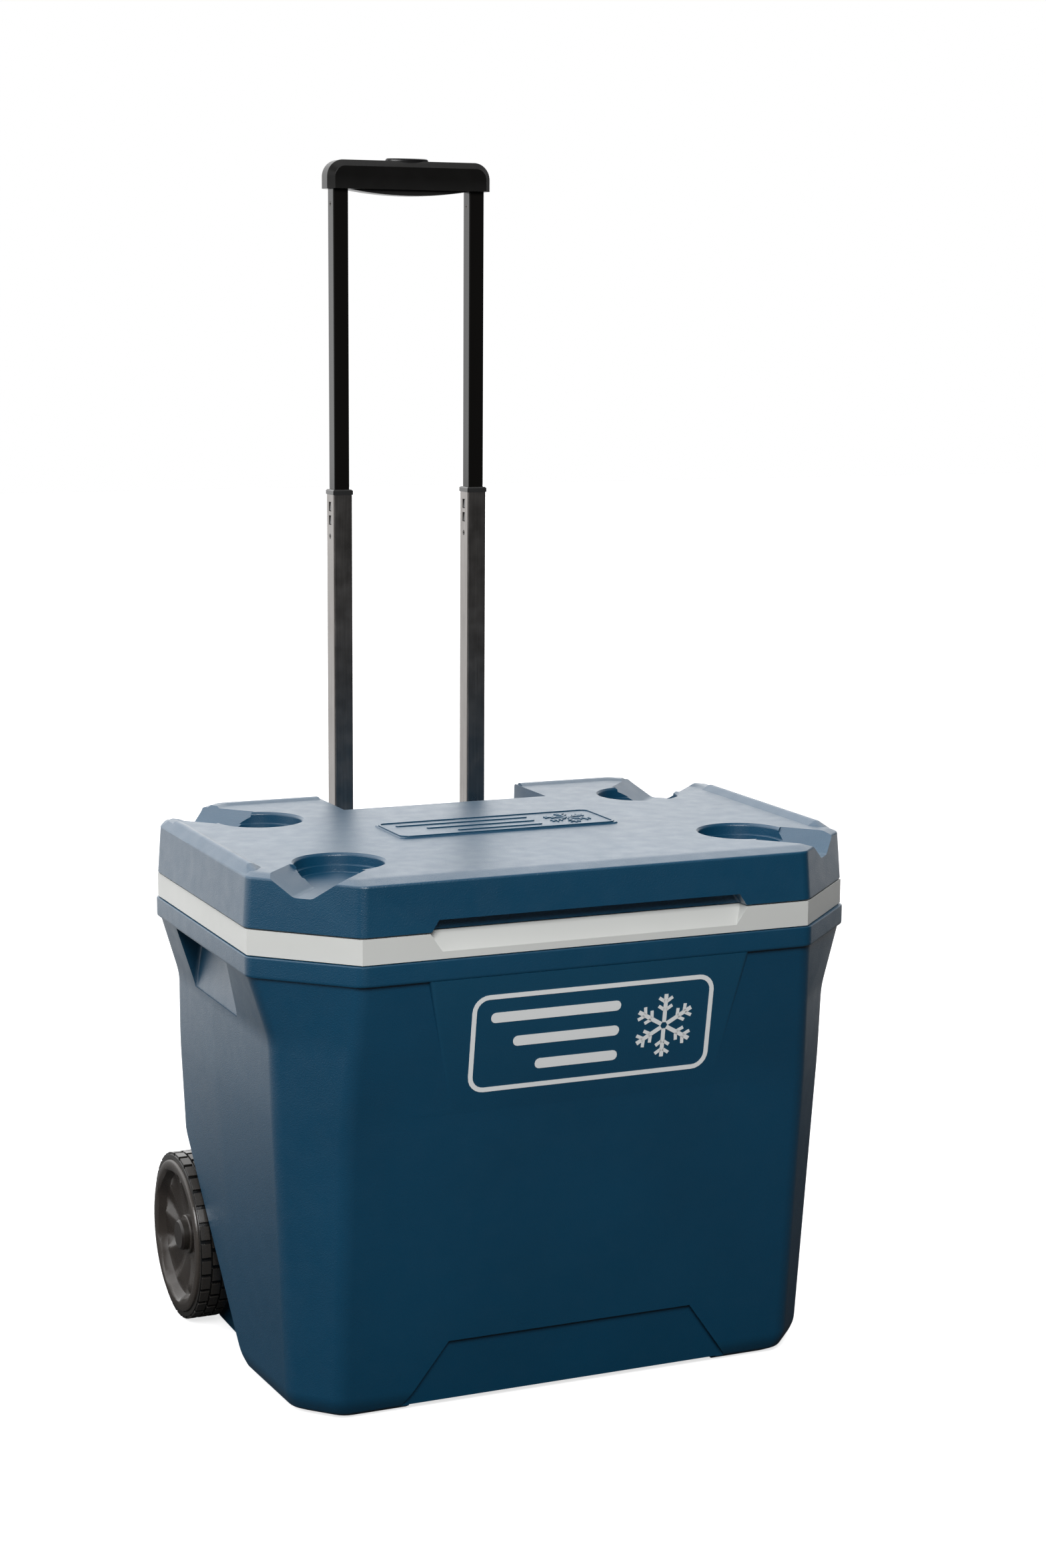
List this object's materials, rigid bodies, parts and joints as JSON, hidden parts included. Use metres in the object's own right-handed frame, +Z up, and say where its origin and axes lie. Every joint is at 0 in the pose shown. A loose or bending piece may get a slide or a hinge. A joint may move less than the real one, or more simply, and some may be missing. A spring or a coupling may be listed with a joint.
{
  "type": "wheeled cooler",
  "caption": "Family-size wheeled cool box with a hinged lid with cup holders, side hand-holds, two wheels and a telescoping pull handle.",
  "frame": {"origin": "on the floor, under the middle of the whole cooler's outline", "axes": "+Z up; -Y the front with the finger lift; +X the right-hand end seen from the front"},
  "size_m": [0.5724, 0.4542, 1.0876],
  "materials": {
    "blue_shell": "pebbled matte",
    "white_liner": "smooth satin",
    "foam": "cellular foam",
    "hinge_metal": "brushed",
    "pin_steel": "turned",
    "screw_steel": "zinc plated",
    "screw_dark": "black oxide",
    "black_bracket": "moulded matte",
    "sleeve_black": "satin paint",
    "lower_tube_grey": "dark anodised",
    "collar_black": "gloss",
    "upper_tube_black": "glossy black anodised",
    "inner_plastic": "moulded",
    "grip_black": "satin",
    "button_black": "satin",
    "hub_plastic": "satin moulded",
    "tyre_black": "smooth blow-moulded",
    "cap_black": "satin"
  },
  "bodies": {
    "tub": {"tub_shell": "blue_shell", "tub_liner": "white_liner", "tub_foam": "foam", "hinge_base_left": "hinge_metal", "hinge_base_right": "hinge_metal", "hinge_pin_left": "pin_steel", "hinge_pin_right": "pin_steel", "hinge_base_screws": "screw_steel", "guide_sleeve_left": "sleeve_black", "guide_sleeve_right": "sleeve_black", "guide_bracket_upper": "black_bracket", "guide_bracket_lower": "black_bracket", "bracket_screws": "screw_steel", "axle_plate_left": "black_bracket", "axle_plate_right": "black_bracket", "axle_pin_left": "pin_steel", "axle_pin_right": "pin_steel"},
    "lid": {"lid_shell": "blue_shell", "lid_liner": "white_liner", "lid_foam": "foam", "hinge_leaf_left": "hinge_metal", "hinge_leaf_right": "hinge_metal", "hinge_leaf_screws": "screw_steel"},
    "handle_lower": {"lower_tube_left": "lower_tube_grey", "lower_tube_right": "lower_tube_grey", "tube_collar_left": "collar_black", "tube_collar_right": "collar_black", "tube_screws": "screw_dark"},
    "handle_upper": {"upper_tube_left": "upper_tube_black", "upper_tube_right": "upper_tube_black", "grip_shell": "grip_black", "grip_cover": "grip_black", "grip_screws": "screw_dark", "lock_block_left": "inner_plastic", "lock_block_right": "inner_plastic", "lock_pins": "pin_steel"},
    "release": {"release_button": "button_black", "release_yoke": "inner_plastic", "button_spring": "pin_steel"},
    "wheel_left": {"wheel_hub_left": "hub_plastic", "tyre_left": "tyre_black", "wheel_cap_left": "cap_black"},
    "wheel_right": {"wheel_hub_right": "hub_plastic", "tyre_right": "tyre_black", "wheel_cap_right": "cap_black"}
  },
  "joints": [
    {"name": "lid_hinge", "type": "hinge", "parent": "tub", "child": "lid", "pos_m": [0, 0.19274, 0.441], "axis": [-1, 0, 0], "range_deg": [0, 68]},
    {"name": "handle_lower_slide", "type": "slide", "parent": "tub", "child": "handle_lower", "axis": [0, 0, 1], "range_m": [-0.32, 0]},
    {"name": "handle_upper_slide", "type": "slide", "parent": "handle_lower", "child": "handle_upper", "axis": [0, 0, 1], "range_m": [-0.282, 0]},
    {"name": "release_press", "type": "slide", "parent": "handle_upper", "child": "release", "axis": [0, 0, -1], "range_m": [0, 0.004], "stiffness_N_per_m": 900, "springref_m": -0.003, "deforming": ["button_spring"]},
    {"name": "wheel_left_spin", "type": "hinge", "parent": "tub", "child": "wheel_left", "pos_m": [-0.252, 0.12724, 0.079], "axis": [1, 0, 0], "continuous": true},
    {"name": "wheel_right_spin", "type": "hinge", "parent": "tub", "child": "wheel_right", "pos_m": [0.252, 0.12724, 0.079], "axis": [1, 0, 0], "continuous": true}
  ]
}
